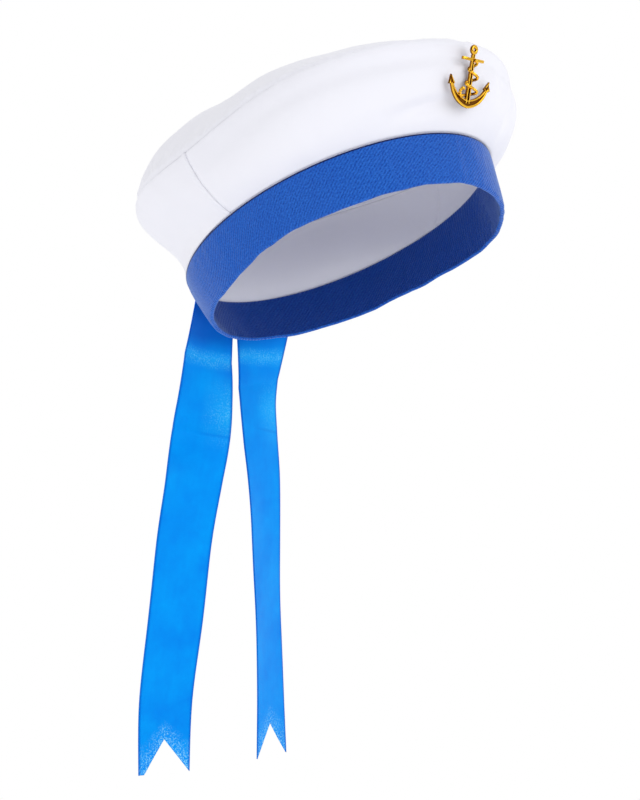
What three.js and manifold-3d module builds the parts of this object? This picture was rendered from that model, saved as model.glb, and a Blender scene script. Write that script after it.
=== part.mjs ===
// A sailor cap as it is worn: a soft white crown on a blue satin headband, two azure ribbons sewn in at
// the back, and a gold anchor badge pinned to the front.
//
// Millimetres, +Z up. The cap's own frame has its front at -Y and the wearer's left at +X. The cap group is
// leaned back about the centre of the head opening, which is the origin. The ribbons hang straight down from
// it, so they are built in the outer, upright frame.
import * as THREE from 'three';
import { mergeVertices } from 'three/addons/utils/BufferGeometryUtils.js';
import Module from 'manifold-3d';

const wasm = await Module();
wasm.setup();

// --- Driving dimensions --------------------------------------------------------------------------------

const LEAN_BACK = THREE.MathUtils.degToRad(28.5); // the front of the cap is raised by this much
const LEAN_SIDE = THREE.MathUtils.degToRad(3); // and the wearer's right side by this much
const GAP = 0.3; // clearance between neighbouring pieces

const HEAD = { halfWidth: 83.5, frontReach: 100, backReach: 104 }; // outside of the headband's lower edge
const BAND = { height: 30, flare: 6.5, swell: 0.8, thickness: 3 };
// Where the headband's lower edge leaves the plain oval: each row is one gentle wave centred on an angle.
const BAND_WAVES = [
  { angle: -112, halfWidth: 20, out: 0, drop: 2.2 },
  { angle: -72, halfWidth: 20, out: 0, drop: -1.6 },
  { angle: 62, halfWidth: 34, out: 7.5, drop: 3 },
];
const CLOTH = { thickness: 1.5 };
const SIDE_SEAM_ANGLE = 92; // degrees from the front to the seam over each ear

// The crown at five angles from the front, in degrees, the same on both sides. The wall rises from the top
// of the headband to the crest seam: reach is how far out it goes and rise how far up. It is a cubic curve,
// and low and high place its two control points, outwards in mm and upwards as shares of the rise. fold is
// the depth of the soft dent under the crest. puff is how steeply the round top swells behind the seam.
const CROWN_SECTIONS = [
  { angle: 0, reach: 28, rise: 48, lowOut: 20, lowUp: 0.3, highOut: 32, highUp: 0.63, fold: 2.4, puff: 18 },
  { angle: 45, reach: 25.5, rise: 49, lowOut: 22, lowUp: 0.27, highOut: 30, highUp: 0.6, fold: 1, puff: 24 },
  { angle: 90, reach: 21, rise: 42, lowOut: 12, lowUp: 0.2, highOut: 20, highUp: 0.52, fold: 0.6, puff: 38 },
  { angle: 135, reach: 17, rise: 52, lowOut: -5, lowUp: 0.5, highOut: 22, highUp: 0.74, fold: 0, puff: 52 },
  { angle: 180, reach: 9, rise: 50, lowOut: -4, lowUp: 0.5, highOut: 12, highUp: 0.74, fold: 0, puff: 49 },
];
const SECTION_STEP = 45;
const CROWN_TOP = { rise: 38, roundness: 3.5, seamRise: 48 };
const FOLD = { at: 0.76, halfWidth: 0.11 }; // where the dent lies up the wall, and how wide it is

const RIBBON = { width: 38, length: 301, notch: 22, thickness: 1, settled: 70 };
// Each ribbon's middle line. down is the distance below the seam, aside and back are offsets from the
// middle of the cap's back, and turn is the angle in degrees that its width is turned about the vertical.
const RIBBON_RIGHT_ROUTE = [
  { down: 0, aside: -14, back: 0, turn: 0 },
  { down: 28, aside: -15, back: 3, turn: -8 },
  { down: 58, aside: -15.5, back: 5, turn: -21 },
  { down: 86, aside: -18, back: 7, turn: -40 },
  { down: 112, aside: -21.5, back: 9, turn: -28 },
  { down: 150, aside: -26.2, back: 13, turn: -22 },
  { down: 200, aside: -31.2, back: 16, turn: -21 },
  { down: 250, aside: -36.6, back: 19, turn: -16 },
  { down: 296, aside: -37.4, back: 20, turn: -11 },
];
const RIBBON_LEFT_ROUTE = [
  { down: 0, aside: 25, back: 0, turn: 0 },
  { down: 28, aside: 29, back: 3, turn: 5 },
  { down: 58, aside: 32, back: 5, turn: 8 },
  { down: 86, aside: 37, back: 7, turn: 10 },
  { down: 112, aside: 42, back: 9, turn: 12 },
  { down: 150, aside: 47, back: 12, turn: 16 },
  { down: 200, aside: 52, back: 15, turn: 20 },
  { down: 250, aside: 56, back: 17, turn: 18 },
  { down: 294, aside: 58, back: 18, turn: 14 },
];

// The badge lies over the front wall between the climbs foot and head. lean turns it to the wearer's left
// and tilt brings its top away from the cloth, both in degrees.
const BADGE = { angle: -0.8, foot: 0.22, head: 0.8, lean: 4, tilt: 6 };
const ANCHOR = {
  height: 38,
  halfSpan: 16.8,
  flukeTip: 18,
  shankHalfWidth: 1.3,
  stockHeight: 29,
  stockLength: 18,
  stockWidth: 1.8,
  ringRadius: 1.95,
  ringWire: 1.15,
  armDepth: 4.8,
  thickness: 1.6,
  bevel: 0.4,
};
const ROPE = { radius: 0.8, top: 29, bottom: 6, narrow: 3.2, wide: 5.6, turns: 2.75, stand: 1.1 };
const POST = { radius: 0.8, height: 15, length: 9 };
const CLUTCH = { bore: 1.2, radius: 4.5, thickness: 2 };

// How finely the cloth is divided: columns go round the cap, rows go up a wall.
const COLUMNS = 60;
const WALL_ROWS = 9;
const TOP_ROWS = 10;
const RIBBON_COLUMNS = 6;
const RIBBON_ROWS = 36;

// --- Materials -----------------------------------------------------------------------------------------

const WHITE_CLOTH = { color: 0xf4f4f8, roughness: 0.85, metalness: 0 };
const BLUE_SATIN = { color: 0x2156c4, roughness: 0.5, metalness: 0 };
const AZURE_SATIN = { color: 0x0a86ee, roughness: 0.4, metalness: 0 };
const GOLD = { color: 0xe0a020, roughness: 0.22, metalness: 1 };

function namedMesh(name, geometry, finish) {
  const mesh = new THREE.Mesh(geometry, new THREE.MeshStandardMaterial(finish));
  mesh.name = name;
  return mesh;
}

// --- Shared geometry -----------------------------------------------------------------------------------

// Joins a row of closed loops, all of one even length, into a solid. A loop runs along one face of the
// wall and back along the other, so an open end is filled with a ladder between the two.
function skin(loops, joinedEnds = false) {
  const count = loops[0].length;
  const positions = loops.flat().flatMap((point) => [point.x, point.y, point.z]);
  const index = [];
  const quad = (a, b, c, d) => index.push(a, b, c, a, c, d);
  const bays = joinedEnds ? loops.length : loops.length - 1;
  for (let bay = 0; bay < bays; bay += 1) {
    const near = bay * count;
    const far = ((bay + 1) % loops.length) * count;
    for (let k = 0; k < count; k += 1) {
      const next = (k + 1) % count;
      quad(near + k, far + k, far + next, near + next);
    }
  }
  if (!joinedEnds) {
    const last = (loops.length - 1) * count;
    for (let k = 0; k < count / 2 - 1; k += 1) {
      const opposite = count - 1 - k;
      quad(k, k + 1, opposite - 1, opposite);
      quad(last + k, last + opposite, last + opposite - 1, last + k + 1);
    }
  }
  const geometry = new THREE.BufferGeometry();
  geometry.setAttribute('position', new THREE.Float32BufferAttribute(positions, 3));
  geometry.setIndex(index);
  return geometry;
}

// A smooth curve through rows of a table at equal steps; position counts steps from the first row.
function smoothBetween(valueAt, position) {
  const start = Math.floor(position);
  const part = position - start;
  const [before, from, to, after] = [-1, 0, 1, 2].map((offset) => valueAt(start + offset));
  const slope = (to - before) / 2;
  const nextSlope = (after - from) / 2;
  const squared = part * part;
  const cubed = squared * part;
  return (
    from * (2 * cubed - 3 * squared + 1) +
    slope * (cubed - 2 * squared + part) +
    to * (3 * squared - 2 * cubed) +
    nextSlope * (cubed - squared)
  );
}

function toManifold(geometry) {
  const plain = geometry.clone();
  plain.deleteAttribute('normal');
  plain.deleteAttribute('uv');
  const merged = mergeVertices(plain);
  return new wasm.Manifold(
    new wasm.Mesh({
      numProp: 3,
      vertProperties: new Float32Array(merged.attributes.position.array),
      triVerts: new Uint32Array(merged.index.array),
    }),
  );
}

function fromManifold(solid) {
  const mesh = solid.getMesh();
  const geometry = new THREE.BufferGeometry();
  geometry.setAttribute('position', new THREE.BufferAttribute(mesh.vertProperties, 3));
  geometry.setIndex(new THREE.BufferAttribute(mesh.triVerts, 1));
  return geometry;
}

// --- The cap's shape, by angle from the front ----------------------------------------------------------

function atAngle(degrees, radius, height) {
  const angle = THREE.MathUtils.degToRad(degrees);
  return new THREE.Vector3(radius * Math.sin(angle), -radius * Math.cos(angle), height);
}

// The egg-shaped outline of the head, grown outwards by the given distance.
function headRadius(degrees, outwards) {
  const angle = THREE.MathUtils.degToRad(degrees);
  const reach = Math.cos(angle) > 0 ? HEAD.frontReach : HEAD.backReach;
  const along = Math.cos(angle) / (reach + outwards);
  const across = Math.sin(angle) / (HEAD.halfWidth + outwards);
  return 1 / Math.hypot(along, across);
}

function sectionAt(degrees, column) {
  const last = CROWN_SECTIONS.length - 1;
  const fromFront = Math.abs(THREE.MathUtils.euclideanModulo(degrees + 180, 360) - 180);
  const mirrored = (row) => (row < 0 ? -row : row > last ? 2 * last - row : row);
  return smoothBetween((row) => CROWN_SECTIONS[mirrored(row)][column], fromFront / SECTION_STEP);
}

// A point on the outside of the crown: climb runs from 0 at the headband to 1 at the crest seam, and on
// from there to 2 at the middle of the round top.
function crownPoint(degrees, climb) {
  const section = (column) => sectionAt(degrees, column);
  const foot = headRadius(degrees, BAND.flare);
  if (climb <= 1) {
    const low = 3 * climb * (1 - climb) ** 2;
    const high = 3 * climb ** 2 * (1 - climb);
    const end = climb ** 3;
    const out = low * section('lowOut') + high * section('highOut') + end * section('reach');
    const up = section('rise') * (low * section('lowUp') + high * section('highUp') + end);
    const dent = section('fold') * Math.exp(-(((climb - FOLD.at) / FOLD.halfWidth) ** 2));
    return atAngle(degrees, foot + out - dent, BAND.height + GAP + up);
  }
  const inwards = climb - 1;
  const left = 1 - inwards;
  const seamHeight = section('rise') * left + CROWN_TOP.seamRise * inwards;
  const swell = section('puff') * left + CROWN_TOP.rise * inwards;
  const height = seamHeight + swell * (1 - left ** CROWN_TOP.roundness);
  return atAngle(degrees, (foot + section('reach')) * left, BAND.height + GAP + height);
}

// The outward direction there. Near the crest seam it turns smoothly, so that both sides meet in a mitre.
function crownNormal(degrees, climb) {
  const step = 0.03;
  const low = crownPoint(degrees, Math.max(climb - step, 0));
  const high = crownPoint(degrees, Math.min(climb + step, 1.99));
  const left = crownPoint(degrees + 1, climb);
  const right = crownPoint(degrees - 1, climb);
  return left.sub(right).cross(high.sub(low)).normalize();
}

function crownInside(degrees, climb) {
  return crownPoint(degrees, climb).addScaledVector(crownNormal(degrees, climb), -CLOTH.thickness);
}

// --- Crown ---------------------------------------------------------------------------------------------

function wallPanel(fromDegrees, toDegrees) {
  const top = 1 - GAP / 100;
  const columns = Math.round((COLUMNS * (toDegrees - fromDegrees)) / 360);
  const climbs = Array.from({ length: WALL_ROWS + 1 }, (_, row) => (top * row) / WALL_ROWS);
  const loops = [];
  for (let column = 0; column <= columns; column += 1) {
    const degrees = THREE.MathUtils.lerp(fromDegrees, toDegrees, column / columns);
    const outside = climbs.map((climb) => crownPoint(degrees, climb));
    const inside = climbs.map((climb) => crownInside(degrees, climb)).reverse();
    loops.push([...outside, ...inside]);
  }
  return skin(loops);
}

function crownTopGeometry() {
  const rim = 1 + GAP / 200;
  const centre = 1.985;
  const ring = (pointAt, row) => {
    const climb = THREE.MathUtils.lerp(rim, centre, (row / TOP_ROWS) ** 1.5);
    return Array.from({ length: COLUMNS }, (_, column) => pointAt((column * 360) / COLUMNS, climb));
  };
  const rows = Array.from({ length: TOP_ROWS + 1 }, (_, row) => row);
  const inside = rows.map((row) => ring(crownInside, row)).reverse();
  const outside = rows.map((row) => ring(crownPoint, row));
  return skin([...inside, ...outside].reverse());
}

// --- Headband ------------------------------------------------------------------------------------------

function bandWave(degrees) {
  const total = { out: 0, drop: 0 };
  for (const wave of BAND_WAVES) {
    const away = THREE.MathUtils.euclideanModulo(degrees - wave.angle + 180, 360) - 180;
    const strength = Math.exp(-((away / wave.halfWidth) ** 2));
    total.out += wave.out * strength;
    total.drop += wave.drop * strength;
  }
  return total;
}

// One band of doubled satin: its lower edge is the fold, and its upper edge meets the crown.
function headbandGeometry() {
  const fold = BAND.thickness / 2;
  const outline = [
    { in: 0, height: fold },
    { in: 0, height: BAND.height / 2 },
    { in: 0, height: BAND.height },
    { in: BAND.thickness, height: BAND.height },
    { in: BAND.thickness, height: BAND.height / 2 },
    { in: BAND.thickness, height: fold },
    { in: BAND.thickness * 0.8, height: fold * 0.25 },
    { in: BAND.thickness * 0.2, height: fold * 0.25 },
  ];
  const loops = Array.from({ length: COLUMNS }, (_, column) => {
    const degrees = (column * 360) / COLUMNS;
    return outline.map((corner) => {
      const share = corner.height / BAND.height;
      const wave = bandWave(degrees);
      const swell = 4 * BAND.swell * share * (1 - share);
      const outwards = BAND.flare * share + swell + wave.out * (1 - share) - corner.in;
      const height = corner.height - wave.drop * (1 - share);
      return atAngle(degrees, headRadius(degrees, outwards), height);
    });
  });
  return skin(loops, true);
}

// --- Ribbons -------------------------------------------------------------------------------------------

// A point of the seam between crown and headband that a ribbon hangs from, by its distance to the side.
function seamPoint(aside) {
  const degrees = 180 - THREE.MathUtils.radToDeg(Math.asin(aside / HEAD.backReach));
  const radius = headRadius(degrees, BAND.flare + RIBBON.thickness / 2 + GAP);
  return atAngle(degrees, radius, BAND.height - RIBBON.thickness).applyMatrix4(cap.matrix);
}

// One satin ribbon with a swallow-tail end. Its top edge follows the seam, and below that it flattens out.
function ribbonGeometry(route) {
  const seam = seamPoint(0);
  const points = route.map((row) => new THREE.Vector3(row.aside, row.back, -row.down).add(seam));
  const line = new THREE.CatmullRomCurve3(points, false, 'centripetal');
  const turnAt = (share) => {
    const position = line.getUtoTmapping(share) * (route.length - 1);
    const valueAt = (row) => route[THREE.MathUtils.clamp(row, 0, route.length - 1)].turn;
    return THREE.MathUtils.degToRad(smoothBetween(valueAt, position));
  };
  const pointAt = (across, along) => {
    const side = 2 * across - 1;
    const share = along - (RIBBON.notch / RIBBON.length) * (1 - Math.abs(side)) * along ** 6;
    const turn = turnAt(share);
    const width = new THREE.Vector3(Math.cos(turn), Math.sin(turn), 0);
    const free = line.getPointAt(share).addScaledVector(width, (side * RIBBON.width) / 2);
    const plainTop = points[0].clone();
    plainTop.x += (side * RIBBON.width) / 2;
    const hold = 1 - THREE.MathUtils.smoothstep(along * RIBBON.length, 0, RIBBON.settled);
    const held = seamPoint(plainTop.x - seam.x).sub(plainTop);
    return free.addScaledVector(held, hold);
  };
  const loops = [];
  for (let row = 0; row <= RIBBON_ROWS; row += 1) {
    const along = row / RIBBON_ROWS;
    const front = [];
    const back = [];
    for (let column = 0; column <= RIBBON_COLUMNS; column += 1) {
      const across = column / RIBBON_COLUMNS;
      const turn = turnAt(along);
      const facing = new THREE.Vector3(-Math.sin(turn), Math.cos(turn), 0);
      const point = pointAt(across, along);
      front.push(point.clone().addScaledVector(facing, -RIBBON.thickness / 2));
      back.push(point.clone().addScaledVector(facing, RIBBON.thickness / 2));
    }
    loops.push([...front, ...back.reverse()]);
  }
  return skin(loops);
}

// --- Anchor badge --------------------------------------------------------------------------------------

// In the badge's own frame: x across, y up from the lowest point of the arms, z away from the cap.
function anchorArmsShape() {
  const { halfSpan, flukeTip, armDepth } = ANCHOR;
  const barb = { y: flukeTip - 5.5, outer: halfSpan + 0.9, inner: halfSpan - 4 };
  const shape = new THREE.Shape();
  shape.moveTo(0, 0);
  shape.quadraticCurveTo(halfSpan * 0.72, 1.6, halfSpan - 0.7, barb.y);
  shape.lineTo(barb.outer, barb.y - 0.4);
  shape.lineTo(halfSpan, flukeTip);
  shape.lineTo(barb.inner, barb.y + 0.6);
  shape.lineTo(halfSpan - 3.1, barb.y);
  shape.quadraticCurveTo(halfSpan * 0.55, armDepth + 1.4, 0, armDepth);
  shape.quadraticCurveTo(-halfSpan * 0.55, armDepth + 1.4, -halfSpan + 3.1, barb.y);
  shape.lineTo(-barb.inner, barb.y + 0.6);
  shape.lineTo(-halfSpan, flukeTip);
  shape.lineTo(-barb.outer, barb.y - 0.4);
  shape.lineTo(-halfSpan + 0.7, barb.y);
  shape.quadraticCurveTo(-halfSpan * 0.72, 1.6, 0, 0);
  return shape;
}

function anchorShankShape() {
  const { shankHalfWidth, stockHeight, armDepth } = ANCHOR;
  const shape = new THREE.Shape();
  shape.moveTo(-shankHalfWidth * 1.3, armDepth - 1);
  shape.lineTo(shankHalfWidth * 1.3, armDepth - 1);
  shape.lineTo(shankHalfWidth * 0.8, stockHeight + 3);
  shape.lineTo(-shankHalfWidth * 0.8, stockHeight + 3);
  return shape;
}

function barShape(centreHeight, length, width) {
  const shape = new THREE.Shape();
  shape.moveTo(-length / 2, centreHeight - width / 2);
  shape.lineTo(length / 2, centreHeight - width / 2);
  shape.lineTo(length / 2, centreHeight + width / 2);
  shape.lineTo(-length / 2, centreHeight + width / 2);
  return shape;
}

function castPlate(shape) {
  return new THREE.ExtrudeGeometry(shape, {
    depth: ANCHOR.thickness - ANCHOR.bevel,
    bevelEnabled: true,
    bevelThickness: ANCHOR.bevel,
    bevelSize: ANCHOR.bevel,
    bevelOffset: -ANCHOR.bevel,
    bevelSegments: 1,
    curveSegments: 6,
  }).translate(0, 0, ANCHOR.bevel);
}

// The rope winds round the shank from the ring down to the arms, each turn wider than the last.
function ropeGeometry() {
  const points = [];
  const steps = 22;
  for (let step = 0; step <= steps; step += 1) {
    const share = step / steps;
    const phase = 2 * Math.PI * ROPE.turns * share;
    const reach = THREE.MathUtils.lerp(ROPE.narrow, ROPE.wide, share);
    const depth = ANCHOR.thickness / 2 + 0.4 + ROPE.stand * Math.cos(phase);
    const height = THREE.MathUtils.lerp(ROPE.top, ROPE.bottom, share);
    points.push(new THREE.Vector3(reach * Math.sin(phase), height, depth));
  }
  const section = new THREE.Shape();
  section.absarc(0, 0, ROPE.radius, 0, 2 * Math.PI);
  return new THREE.ExtrudeGeometry(section, {
    steps: 60,
    curveSegments: 6,
    extrudePath: new THREE.CatmullRomCurve3(points),
  });
}

function anchorGeometry() {
  const ring = new THREE.TorusGeometry(ANCHOR.ringRadius, ANCHOR.ringWire, 6, 16);
  ring.translate(0, ANCHOR.height - ANCHOR.ringRadius - ANCHOR.ringWire, ANCHOR.thickness / 2);
  const post = new THREE.CylinderGeometry(POST.radius, POST.radius, POST.length + 1, 12);
  post.rotateX(Math.PI / 2);
  post.translate(0, POST.height, 1 - (POST.length + 1) / 2);
  const pieces = [
    castPlate(anchorArmsShape()),
    castPlate(anchorShankShape()),
    castPlate(barShape(ANCHOR.stockHeight, ANCHOR.stockLength, ANCHOR.stockWidth)),
    ropeGeometry(),
    ring,
    post,
  ];
  const solid = pieces.map(toManifold).reduce((whole, piece) => whole.add(piece));
  return fromManifold(solid);
}

function clutchGeometry() {
  const profile = [
    new THREE.Vector2(CLUTCH.bore, 0),
    new THREE.Vector2(CLUTCH.radius, 0),
    new THREE.Vector2(CLUTCH.radius, CLUTCH.thickness),
    new THREE.Vector2(CLUTCH.bore, CLUTCH.thickness),
    new THREE.Vector2(CLUTCH.bore, 0),
  ];
  return new THREE.LatheGeometry(profile, 20).rotateX(Math.PI / 2);
}

// The badge lies along the front wall, clear of the cloth's most forward point.
function placeOnFront(group) {
  const foot = crownPoint(BADGE.angle, BADGE.foot);
  const head = crownPoint(BADGE.angle, BADGE.head);
  const up = head.clone().sub(foot).normalize();
  const across = new THREE.Vector3(1, 0, 0);
  const out = across.clone().cross(up).normalize();
  let clearance = 0;
  for (let climb = BADGE.foot; climb < 1; climb += 0.02) {
    clearance = Math.max(clearance, crownPoint(BADGE.angle, climb).sub(foot).dot(out));
  }
  group.position.copy(foot).addScaledVector(out, clearance + GAP);
  group.quaternion.setFromRotationMatrix(new THREE.Matrix4().makeBasis(across, up, out));
  group.rotateX(THREE.MathUtils.degToRad(BADGE.tilt));
  group.rotateZ(THREE.MathUtils.degToRad(-BADGE.lean));
  group.updateMatrix();
}

// How far behind the badge's back the cloth's inner face lies, at the post.
function depthToInside(group) {
  const origin = new THREE.Vector3(0, POST.height, 0).applyMatrix4(group.matrix);
  const out = new THREE.Vector3(0, 0, 1).transformDirection(group.matrix);
  let depth = 0;
  for (let climb = BADGE.foot; climb < 1; climb += 0.01) {
    const inside = crownInside(BADGE.angle, climb);
    const offset = inside.sub(origin);
    const along = offset.dot(out);
    const aside = offset.addScaledVector(out, -along).length();
    if (aside < CLUTCH.radius + 1) {
      depth = Math.max(depth, -along);
    }
  }
  return depth;
}

// --- Assembly ------------------------------------------------------------------------------------------

const sailorCap = new THREE.Group();
const cap = new THREE.Group();
cap.rotation.set(-LEAN_BACK, LEAN_SIDE, 0);
cap.updateMatrix();
sailorCap.add(cap);

const badge = new THREE.Group();
placeOnFront(badge);
cap.add(badge);

const seamHalfAngle = 0.09; // degrees, half of the clearance in each side seam
const frontWall = wallPanel(-SIDE_SEAM_ANGLE + seamHalfAngle, SIDE_SEAM_ANGLE - seamHalfAngle);
const backWall = wallPanel(SIDE_SEAM_ANGLE + seamHalfAngle, 360 - SIDE_SEAM_ANGLE - seamHalfAngle);
const postHole = new THREE.CylinderGeometry(CLUTCH.bore, CLUTCH.bore, 2 * POST.length, 12);
postHole.rotateX(Math.PI / 2);
postHole.translate(0, POST.height, 0);
postHole.applyMatrix4(badge.matrix);
const piercedFrontWall = fromManifold(toManifold(frontWall).subtract(toManifold(postHole)));

cap.add(namedMesh('crown_top', crownTopGeometry(), WHITE_CLOTH));
cap.add(namedMesh('crown_front_panel', piercedFrontWall, WHITE_CLOTH));
cap.add(namedMesh('crown_back_panel', backWall, WHITE_CLOTH));
cap.add(namedMesh('headband', headbandGeometry(), BLUE_SATIN));

badge.add(namedMesh('anchor_badge', anchorGeometry(), GOLD));
const clutch = namedMesh('badge_clutch', clutchGeometry(), GOLD);
clutch.position.set(0, POST.height, -depthToInside(badge) - GAP - CLUTCH.thickness);
badge.add(clutch);

sailorCap.add(namedMesh('ribbon_right', ribbonGeometry(RIBBON_RIGHT_ROUTE), AZURE_SATIN));
sailorCap.add(namedMesh('ribbon_left', ribbonGeometry(RIBBON_LEFT_ROUTE), AZURE_SATIN));

export default sailorCap;
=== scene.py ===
import math

import bmesh
import bpy
import numpy as np
from mathutils import Matrix, Vector


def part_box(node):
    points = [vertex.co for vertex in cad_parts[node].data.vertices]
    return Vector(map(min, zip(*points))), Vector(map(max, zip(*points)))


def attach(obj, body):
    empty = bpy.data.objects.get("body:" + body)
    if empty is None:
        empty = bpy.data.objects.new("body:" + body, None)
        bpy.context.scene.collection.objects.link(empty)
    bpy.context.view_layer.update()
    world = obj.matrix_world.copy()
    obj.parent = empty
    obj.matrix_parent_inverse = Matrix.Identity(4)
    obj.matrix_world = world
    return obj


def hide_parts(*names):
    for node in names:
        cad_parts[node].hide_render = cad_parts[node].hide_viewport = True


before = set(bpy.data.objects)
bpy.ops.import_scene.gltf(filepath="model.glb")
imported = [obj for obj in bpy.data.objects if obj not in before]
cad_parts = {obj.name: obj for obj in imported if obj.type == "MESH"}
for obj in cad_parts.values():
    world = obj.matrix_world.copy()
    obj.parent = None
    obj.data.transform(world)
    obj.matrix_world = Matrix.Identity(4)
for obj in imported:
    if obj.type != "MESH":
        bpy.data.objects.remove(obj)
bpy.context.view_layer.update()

# A sailor cap as it is worn. Lengths in the shape functions are millimetres in the cap's own frame, with the
# front at -Y and the wearer's left at +X, and add_mesh() turns them into metres.
MM = 0.001

# --- Driving dimensions, the same as the CAD part's ----------------------------------------------------

LEAN_BACK = math.radians(28.5)
LEAN_SIDE = math.radians(3)
GAP = 0.3
HEAD_HALF_WIDTH, HEAD_FRONT_REACH, HEAD_BACK_REACH = 83.5, 100, 104
BAND_HEIGHT, BAND_FLARE, BAND_SWELL, BAND_THICKNESS = 30, 6.5, 0.8, 3
# Waves of the headband's lower edge: angle, half width in degrees, outwards and downwards in mm.
BAND_WAVES = (
    (-112, 20, 0, 2.2),
    (-72, 20, 0, -1.6),
    (62, 34, 7.5, 3),
)
CLOTH_THICKNESS = 1.5
SIDE_SEAM_ANGLE = 92
SECTION_STEP = 45
SECTION_COLUMNS = ("reach", "rise", "low_out", "low_up", "high_out", "high_up", "fold", "puff")
# One row for each angle from the front: 0, 45, 90, 135 and 180 degrees.
CROWN_SECTIONS = np.array([
    [28, 48, 20, 0.3, 32, 0.63, 2.4, 18],
    [25.5, 49, 22, 0.27, 30, 0.6, 1, 24],
    [21, 42, 12, 0.2, 20, 0.52, 0.6, 38],
    [17, 52, -5, 0.5, 22, 0.74, 0, 52],
    [9, 50, -4, 0.5, 12, 0.74, 0, 49],
])
TOP_RISE, TOP_ROUNDNESS, TOP_SEAM_RISE = 38, 3.5, 48
FOLD_AT, FOLD_HALF_WIDTH = 0.76, 0.11

RIBBON_WIDTH, RIBBON_LENGTH, RIBBON_NOTCH, RIBBON_SETTLED = 38, 301, 22, 70
RIBBON_SEAM_OFFSET, RIBBON_SEAM_DROP = 0.8, 1
# Each ribbon's middle line: down from the seam, aside and back of the cap's middle, and turn in degrees.
RIBBON_RIGHT_ROUTE = np.array([
    [0, -14, 0, 0],
    [28, -15, 3, -8],
    [58, -15.5, 5, -21],
    [86, -18, 7, -40],
    [112, -21.5, 9, -28],
    [150, -26.2, 13, -22],
    [200, -31.2, 16, -21],
    [250, -36.6, 19, -16],
    [296, -37.4, 20, -11],
])
RIBBON_LEFT_ROUTE = np.array([
    [0, 25, 0, 0],
    [28, 29, 3, 5],
    [58, 32, 5, 8],
    [86, 37, 7, 10],
    [112, 42, 9, 12],
    [150, 47, 12, 16],
    [200, 52, 15, 20],
    [250, 56, 17, 18],
    [294, 58, 18, 14],
])

# Lines across the ribbons: mm down from the seam, and mm further down for each mm to the wearer's left.
# The first is worn pale, the second is the middle of a painted highlight above the lower fold,
# and the third is that fold's crease, which carries painted shade.
PRESS_LINE, HIGHLIGHT_LINE, FOLD_LINE = (34.5, 0.12), (68, 0.17), (81.6, 0.17)

# The badge's angle from the front, the climbs of its foot and head, and its lean and tilt in degrees.
BADGE_ANGLE, BADGE_FOOT, BADGE_HEAD, BADGE_LEAN, BADGE_TILT = -0.8, 0.22, 0.8, 4, 6
ANCHOR_HEIGHT, ANCHOR_HALF_SPAN, ANCHOR_FLUKE_TIP, ANCHOR_ARM_DEPTH = 38, 16.8, 18, 4.8
SHANK_HALF_WIDTH, STOCK_HEIGHT, STOCK_LENGTH, STOCK_WIDTH = 1.3, 29, 18, 1.8
RING_RADIUS, RING_WIRE = 1.95, 1.15
PLATE_THICKNESS = 1.6
ROPE_TOP, ROPE_BOTTOM, ROPE_TURNS, ROPE_STRAND = 29, 6, 2.75, 0.6
POST_RADIUS, POST_HEIGHT, POST_LENGTH = 0.8, 15, 9
CLUTCH_BORE, CLUTCH_RADIUS, CLUTCH_THICKNESS = 1.2, 4.5, 2

# --- Plain mathematics ---------------------------------------------------------------------------------


def rotation(axis, angle):
    return np.array(Matrix.Rotation(angle, 3, axis))


CAP_TO_FRAME = rotation("X", -LEAN_BACK) @ rotation("Y", LEAN_SIDE)


def to_frame(points):
    """Points of the cap's own frame in the upright frame."""
    return points @ CAP_TO_FRAME.T


def smooth_rows(table, position, mirrored=False):
    """Values of a table at a position counted in rows, on a smooth curve through the rows."""
    position = np.asarray(position, dtype=float)
    last = len(table) - 1
    start = np.floor(position).astype(int)
    part = (position - start)[..., None]

    def row(offset):
        index = start + offset
        if mirrored:
            index = np.where(index < 0, -index, index)
            index = np.where(index > last, 2 * last - index, index)
        return table[np.clip(index, 0, last)]

    before, begin, end, after = row(-1), row(0), row(1), row(2)
    slope, next_slope = (end - before) / 2, (after - begin) / 2
    squared, cubed = part**2, part**3
    return (
        begin * (2 * cubed - 3 * squared + 1)
        + slope * (cubed - 2 * squared + part)
        + end * (3 * squared - 2 * cubed)
        + next_slope * (cubed - squared)
    )


def smoothstep(value, low, high):
    share = np.clip((value - low) / (high - low), 0, 1)
    return share * share * (3 - 2 * share)


def bump(value, centre, half_width):
    return np.exp(-(((value - centre) / half_width) ** 2))


def soft_noise(along, across, seed, around=None):
    """Smooth random values from -1 to 1 with one cell a unit, repeating after around cells along."""
    along, across = np.broadcast_arrays(np.asarray(along, float), np.asarray(across, float))
    columns = around or 257
    lattice = np.random.default_rng(seed).uniform(-1, 1, (columns, 257))
    low_along, low_across = np.floor(along).astype(int), np.floor(across).astype(int)
    part_along, part_across = along - low_along, across - low_across
    part_along = part_along * part_along * (3 - 2 * part_along)
    part_across = part_across * part_across * (3 - 2 * part_across)

    def value(step_along, step_across):
        return lattice[(low_along + step_along) % columns, (low_across + step_across) % 257]

    near = value(0, 0) * (1 - part_along) + value(1, 0) * part_along
    far = value(0, 1) * (1 - part_along) + value(1, 1) * part_along
    return near * (1 - part_across) + far * part_across


def normalized(vectors):
    return vectors / np.linalg.norm(vectors, axis=-1, keepdims=True)


# --- The cap's shape, by angle from the front ----------------------------------------------------------


def at_angle(degrees, radius, height):
    angle = np.radians(degrees)
    return np.stack(np.broadcast_arrays(radius * np.sin(angle), -radius * np.cos(angle), height), axis=-1)


def head_radius(degrees, outwards):
    angle = np.radians(degrees)
    reach = np.where(np.cos(angle) > 0, HEAD_FRONT_REACH, HEAD_BACK_REACH)
    return 1 / np.hypot(np.cos(angle) / (reach + outwards), np.sin(angle) / (HEAD_HALF_WIDTH + outwards))


def crown_sections(degrees):
    from_front = np.abs((degrees + 180) % 360 - 180)
    values = smooth_rows(CROWN_SECTIONS, from_front / SECTION_STEP, mirrored=True)
    return {name: values[..., column] for column, name in enumerate(SECTION_COLUMNS)}


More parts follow.
